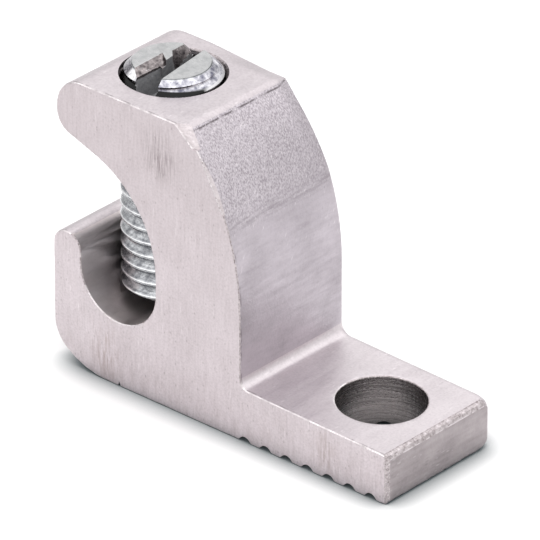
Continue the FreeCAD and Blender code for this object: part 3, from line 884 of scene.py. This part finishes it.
zinc = {
    "plated": {
        "light": (0.70, 0.71, 0.73), "dark": (0.13, 0.135, 0.155),
        "rough": (0.16, 0.32), "metal": 1.0},
    "flat": {
        "light": (0.53, 0.53, 0.535), "dark": (0.37, 0.375, 0.38),
        "rough": (0.25, 0.4), "metal": 1.0},
    "slot": {
        "light": (0.34, 0.34, 0.35), "dark": (0.18, 0.18, 0.19),
        "rough": (0.4, 0.6), "metal": 0.6},
    "broken": {
        "light": (0.38, 0.34, 0.34), "dark": (0.03, 0.025, 0.028),
        "rough": (0.22, 0.4), "metal": 1.0},
}
zincGrain = {
    "mottle": {"Stretch": (2.2, 2.2, 2.2), "Detail": 6.0, "Low": 0.38, "High": 0.64},
    "fine": {"Stretch": (6, 6, 9), "Detail": 3.0, "Low": 0.35, "High": 0.7},
}
# painted shade in the screw's hollows: how far round it looks, how strong, and its colour
zincShut = {"reach": 0.8 * mm, "strength": 0.6, "tint": (0.02, 0.02, 0.022)}

# Lines along the thread, by share of a pitch: middle and half width, then the painted shade's strength.
# Each crest has a painted highlight along both its corners, and painted shade beside it.
threadLook = {
    "below": 19.7,  # mm, where the thread ends and the head's bevel begins
    "corners": ((0.43, 0.05), (0.57, 0.05)),
    "cornerTint": (0.95, 0.95, 0.96),
    "shadeLines": (
        ((0.5, 0.045), 0.6), ((0.34, 0.07), 0.75), ((0.68, 0.07), 0.4),
        ((0.0, 0.1), 0.7), ((1.0, 0.1), 0.7)),
    "shadeTint": (0.05, 0.055, 0.065),
}
# The head, in mm from the screw's axis and up, and in turns round it from +X: a dark line round the flat
# top, the bevel with its mangled side and a painted highlight, painted shadow down in the bore, and a
# painted highlight on a crest's end.
headLook = {
    "flatEdge": (2.38, 0.07),
    "flatEdgeTint": (0.05, 0.05, 0.055),
    "bevelFrom": 2.45,
    "bevel": ((0.68, 0.67, 0.71), (0.16, 0.16, 0.21)),
    "mangled": (-0.38, 0.16),
    "mangledShare": 1.8,
    "mangledTints": ((0.38, 0.36, 0.40), (0.02, 0.02, 0.025)),
    "paintedHighlight": (-0.305, 0.035),
    "highlightShare": 1.8,
    "highlightTint": (0.93, 0.92, 0.94),
    "deep": (19.36, 0.39),
    "deepSide": (-0.2, 0.23),
    "deepShare": 15.0,
    "deepTint": (0.02, 0.02, 0.02),
    "crest": (19.6, 0.14),
    "crestFrom": 2.98,
    "crestSide": (0.1, 0.13),
    "crestShare": 9.0,
    "crestTint": (0.66, 0.65, 0.67),
}


def lineThread(tree, turned, height, colour):
    pitches = mathNode(tree, "DIVIDE", height, screwShape["pitch"] / mm)
    turns = mathNode(tree, "ADD", mathNode(tree, "SUBTRACT", pitches, turned), 4 - screwShape["crestPhase"])
    phase = mathNode(tree, "FRACT", mathNode(tree, "ADD", turns, 0.5))
    onShank = mathNode(tree, "LESS_THAN", height, threadLook["below"])
    # painted highlights along both corners of each crest, and painted shade in lines beside them
    for corner in threadLook["corners"]:
        colour = cover(tree, colour, threadLook["cornerTint"], near(tree, phase, corner), onShank)
    for line, strength in threadLook["shadeLines"]:
        colour = cover(tree, colour, threadLook["shadeTint"], near(tree, phase, line), onShank, strength)
    return colour


def ringHead(tree, turned, height, radius, mottle, fine, colour):
    onTop = mathNode(tree, "GREATER_THAN", height, threadLook["below"])
    flatEdge = near(tree, radius, headLook["flatEdge"])
    colour = cover(tree, colour, headLook["flatEdgeTint"], flatEdge, onTop)
    bevel = blend(tree, mottle, *headLook["bevel"])
    mangled = blend(tree, fine, *headLook["mangledTints"])
    bevel = cover(tree, bevel, mangled, near(tree, turned, headLook["mangled"]), headLook["mangledShare"])
    # a painted highlight in a narrow band round the bevel
    paintedHighlight = times(tree, near(tree, turned, headLook["paintedHighlight"]), mathNode(tree, "ADD", mottle, 0.6))
    bevel = cover(tree, bevel, headLook["highlightTint"], paintedHighlight, headLook["highlightShare"])
    onBevel = mathNode(tree, "GREATER_THAN", radius, headLook["bevelFrom"])
    colour = cover(tree, colour, bevel, onBevel, onTop)
    # painted shadow down in the bore, then a painted highlight on a crest's end
    deep, deepSide = near(tree, height, headLook["deep"]), near(tree, turned, headLook["deepSide"])
    colour = cover(tree, colour, headLook["deepTint"], deep, deepSide, headLook["deepShare"])
    crest, crestSide = near(tree, height, headLook["crest"]), near(tree, turned, headLook["crestSide"])
    onCrest = mathNode(tree, "GREATER_THAN", radius, headLook["crestFrom"])
    return cover(tree, colour, headLook["crestTint"], crest, onCrest, crestSide, headLook["crestShare"])


def makeZinc(name):
    look = zinc[name]
    material, tree, shader, place = startMaterial(name + "Zinc", look["metal"])
    mottle = useGroup(tree, "grain", Place=place, **zincGrain["mottle"])
    fine = useGroup(tree, "grain", Place=place, **zincGrain["fine"])
    colour = blend(tree, weigh(tree, (mottle, 0.6), (fine, 0.4)), look["light"], look["dark"])
    if name == "plated":
        fromScrew = vectorNode(tree, "SUBTRACT", place, (screwAxis.x / mm, screwAxis.y / mm, 0))
        x, y, height = addNode(tree, "SeparateXYZ", Vector=fromScrew).outputs
        squares = mathNode(tree, "ADD", times(tree, x, x), times(tree, y, y))
        radius = mathNode(tree, "POWER", squares, 0.5)
        turned = mathNode(tree, "DIVIDE", mathNode(tree, "ARCTAN2", y, x), 2 * math.pi)
        colour = lineThread(tree, turned, height, colour)
        colour = ringHead(tree, turned, height, radius, mottle, fine, colour)
    # painted shade in the screw's hollows, left off the slot
    if name != "slot":
        shut = useGroup(tree, "hollow", Reach=zincShut["reach"], Strength=zincShut["strength"])
        colour = cover(tree, colour, zincShut["tint"], shut)
    finish(tree, shader, colour, blend(tree, mottle, *look["rough"]), fine, 0.004 * mm)
    return material


channel = {"x": -16.88 * mm, "z": 7.43 * mm, "reach": 3.4 * mm}


def lugFinish(face):
    normal, centre = face.normal, face.center
    fromHole, fromScrew = fromAxis(centre, holeAxis), fromAxis(centre, screwAxis)
    # the hole's wall, then its broken rim, with a painted highlight on one side
    if fromHole < holeRadius + 0.01 * mm and abs(normal.z) < 0.5:
        return "bored"
    if fromHole < holeRadius + 0.1 * mm and 0.1 < normal.z < 0.97:
        return "burr" if centre.x - centre.y < 1.2 * mm and centre.y < 0 else "scuffed"
    # the tapped bore, scuffed at its mouth
    if fromScrew < lugShape["tapCrest"] + 0.01 * mm and 11 * mm < centre.z and abs(normal.z) < 0.95:
        return "bored" if centre.z < 18.8 * mm else "scuffed"
    # the near edge's chamfer: a painted highlight where it faces up, painted shade elsewhere and on the lip
    if 0.5 < -normal.y < 0.9 and centre.y < lugLow.y + 0.06 * mm:
        onLip = centre.x < -17.5 * mm and 6 * mm < centre.z < 12 * mm and normal.x > 0.15
        return "burr" if normal.z > 0.3 and not onLip else "wornAndShaded"
    # the knocks, and slanted faces like them
    onTower = centre.x < -8 * mm and centre.z > 14 * mm
    if 0.3 < -normal.y < 0.97 and centre.y < lugLow.y + 0.6 * mm and onTower:
        return "knocked"
    # the end's rounded edges
    if onEndEdge(centre) and normal.x < 0.97 and abs(normal.y) < 0.97 and abs(normal.z) < 0.97:
        return "wornAndShaded" if normal.y < -0.3 else "scuffed"
    # whole faces
    if abs(normal.y) > 0.9:
        return "sawn"
    # the end face, darker partly as painted shade
    if normal.x > 0.9 and centre.x > lugHigh.x - 0.2 * mm:
        return "shearedShaded"
    fromChannel = math.hypot(centre.x - channel["x"], centre.z - channel["z"])
    if fromChannel < channel["reach"] and normal.z > -0.2:
        return "channel"
    # the inside of the lip
    if centre.x < -18.5 * mm and 7 * mm < centre.z < 10 * mm and normal.x > 0.35:
        return "channel"
    if normal.x > 0.3 and centre.x > -12 * mm and centre.z > 4.2 * mm and normal.z < 0.7:
        return "back"
    return "extruded"


def screwFinish(face):
    turned = Matrix.Rotation(-screwTurn, 3, "Z") @ (face.center - screwAxis)
    across, fromCentre = turned.x / mm, math.hypot(turned.x, turned.y)
    height, upward = face.center.z, face.normal.z
    if height < 18.5 * mm:
        return "plated"
    inSlot = abs(across - screwShape["slotOffset"] / mm) < 0.59
    # the slot's walls and floor
    if inSlot and upward < 0.9 or height < 18.8 * mm and upward > 0.9:
        return "slot"
    if upward > 0.99:
        return "flat"
    # the chips beside it, deep ones as dull as the slot
    chipped = upward < 0.97 and fromCentre < 2.9 * mm
    if chipped and -0.8 < across < 0.85 and height < 19.97 * mm and turned.y < 0.9 * mm:
        return "slot"
    if chipped and -1.4 < across < -0.3 and (face.normal.x > 0.2 or fromCentre < 2.3 * mm):
        return "broken"
    return "plated"


def dress(piece, looks, make, choose):
    piece.data.materials.clear()
    for name in looks:
        piece.data.materials.append(make(name))
    order = list(looks)
    for face in piece.data.polygons:
        face.material_index = order.index(choose(face))


# Camera, light and floor

cameraPlace = {
    "location": (0.28275, -0.32803, 0.25228),
    "looksAt": (-0.012243, 0.003787, 0.006185),
    "lens": 560.2,
    "sensor": 36.0,
}

studio = {
    "floorSize": 3.0,
    "skyLow": 0.75,
    "skyHigh": 2.4,
    "sideLight": 0.25,
    "paper": (0.88, 0.88, 0.88),
    "shadow": (0.16, 0.19, 0.20),
    "shadowReach": 1.7 * mm,
    "shadowStrength": 1.5,
}


def placeCamera():
    bpy.ops.object.camera_add(location=cameraPlace["location"])
    camera = bpy.context.object
    camera.name = "photoCamera"
    view = Vector(cameraPlace["looksAt"]) - camera.location
    camera.rotation_euler = view.to_track_quat("-Z", "Y").to_euler()
    camera.data.lens = cameraPlace["lens"]
    camera.data.sensor_width = cameraPlace["sensor"]
    camera.data.clip_start = 0.01
    camera.data.clip_end = 10
    bpy.context.scene.camera = camera


def lightStudio():
    world = bpy.data.worlds.new("studio")
    world.use_nodes = True
    nodes, links = world.node_tree.nodes, world.node_tree.links
    nodes.clear()
    place = nodes.new("ShaderNodeTexCoord")
    split = nodes.new("ShaderNodeSeparateXYZ")
    grade = nodes.new("ShaderNodeMapRange")
    grade.inputs["To Min"].default_value = studio["skyLow"]
    grade.inputs["To Max"].default_value = studio["skyHigh"]
    sky = nodes.new("ShaderNodeBackground")
    out = nodes.new("ShaderNodeOutputWorld")
    links.new(place.outputs["Generated"], split.inputs[0])
    links.new(split.outputs["Z"], grade.inputs["Value"])
    side = nodes.new("ShaderNodeMapRange")
    side.inputs["To Max"].default_value = studio["sideLight"]
    links.new(split.outputs["X"], side.inputs["Value"])
    both = nodes.new("ShaderNodeMath")
    links.new(grade.outputs["Result"], both.inputs[0])
    links.new(side.outputs["Result"], both.inputs[1])
    links.new(both.outputs[0], sky.inputs["Strength"])
    links.new(sky.outputs[0], out.inputs["Surface"])
    bpy.context.scene.world = world


def layFloor():
    bpy.ops.mesh.primitive_plane_add(size=studio["floorSize"])
    floor = bpy.context.object
    floor.name = "floor"
    paper = bpy.data.materials.new("paper")
    paper.use_nodes = True
    tree = paper.node_tree
    shader = tree.nodes["Principled BSDF"]
    touched = useGroup(tree, "hollow", Reach=studio["shadowReach"], Strength=studio["shadowStrength"])
    finish(tree, shader, blend(tree, touched, studio["paper"], studio["shadow"]), 1.0)
    floor.data.materials.append(paper)


placeCamera()
lightStudio()
layFloor()
bpy.context.scene.view_settings.view_transform = "Standard"

screw = makeScrew()
print("screw wound and cut:", len(screw.data.polygons), "faces")
lug = makeLug()
print("lug cut and worked:", len(lug.data.polygons), "faces")

for piece, body, slot, node in (
    (lug, "lug", "lug_aluminium", "lug_body"),
    (screw, "screw", "screw_zinc", "set_screw"),
):
    onlyActive(piece)
    bpy.ops.object.shade_smooth_by_angle(angle=math.radians(32))
    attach(piece, body)
    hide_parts(node)
dress(lug, aluminium, makeAluminium, lugFinish)
dress(screw, zinc, makeZinc, screwFinish)
print("finishes given")
